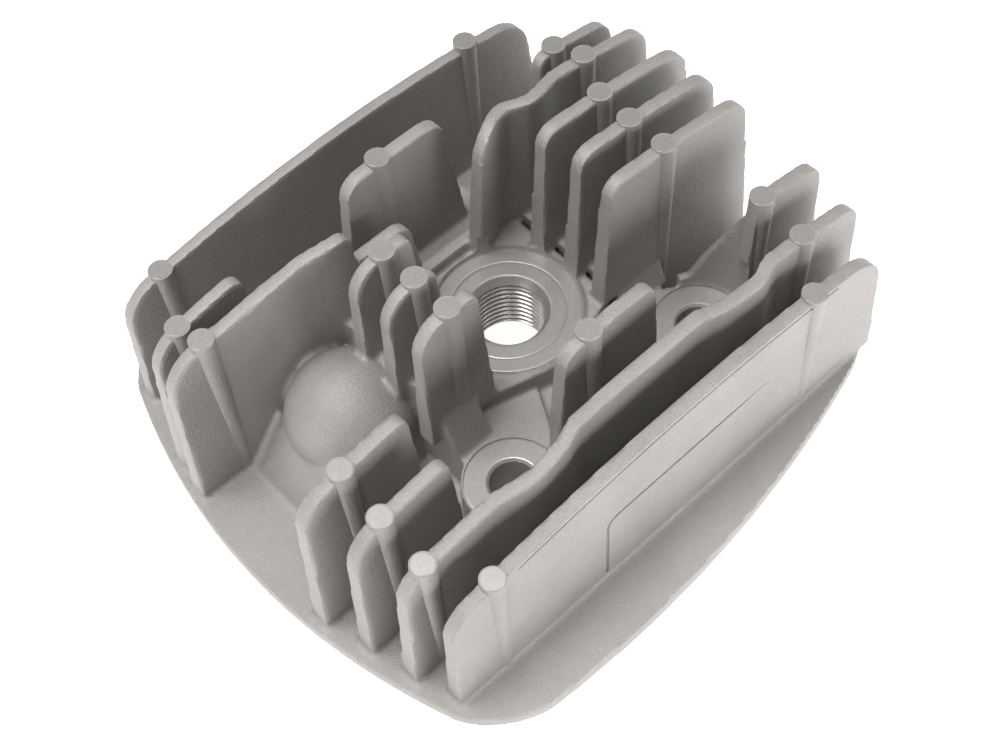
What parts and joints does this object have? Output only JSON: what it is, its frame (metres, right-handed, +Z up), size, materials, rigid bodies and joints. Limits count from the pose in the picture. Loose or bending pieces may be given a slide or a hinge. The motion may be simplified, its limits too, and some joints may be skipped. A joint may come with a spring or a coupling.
{
  "type": "air-cooled cylinder head",
  "caption": "Bare air-cooled aluminium cylinder head of a small two-stroke engine, with tall cooling fins, a threaded plug hole and four stud holes.",
  "frame": {"origin": "middle of the bounding box, at the height of the gasket face", "axes": "+Z up out of the gasket face towards the fin tips, +X along the fins away from the blind boss, +Y across the fins towards the row of fins that stands apart"},
  "size_m": [0.1114, 0.1038, 0.0504],
  "materials": {
    "cast": "matt sand-blasted casting",
    "machined": "casting with turned faces"
  },
  "bodies": {
    "root": {"back_web": "cast", "base_flange": "cast", "blind_boss": "cast", "fin_a": "cast", "fin_b": "cast", "fin_c_left": "cast", "fin_c_middle": "cast", "fin_c_right": "cast", "fin_d_left": "cast", "fin_f_ledge": "cast", "fin_f_left": "cast", "fin_f_right": "cast", "fin_f_step": "cast", "fin_g_left": "cast", "fin_g_middle": "cast", "fin_g_right": "cast", "fin_h": "cast", "front_web": "cast", "gasket_deck": "machined", "plug_boss": "machined", "right_fin_back": "cast", "right_fin_front": "cast", "right_fin_middle": "cast", "short_fin_back": "cast", "short_fin_front": "cast", "short_fin_middle": "cast", "shoulder_left": "cast", "shoulder_right": "cast", "stud_pad_back_left": "cast", "stud_pad_back_right": "cast", "stud_pad_front_left": "cast", "stud_pad_front_right": "cast", "stud_well_wall": "cast"}
  },
  "joints": []
}
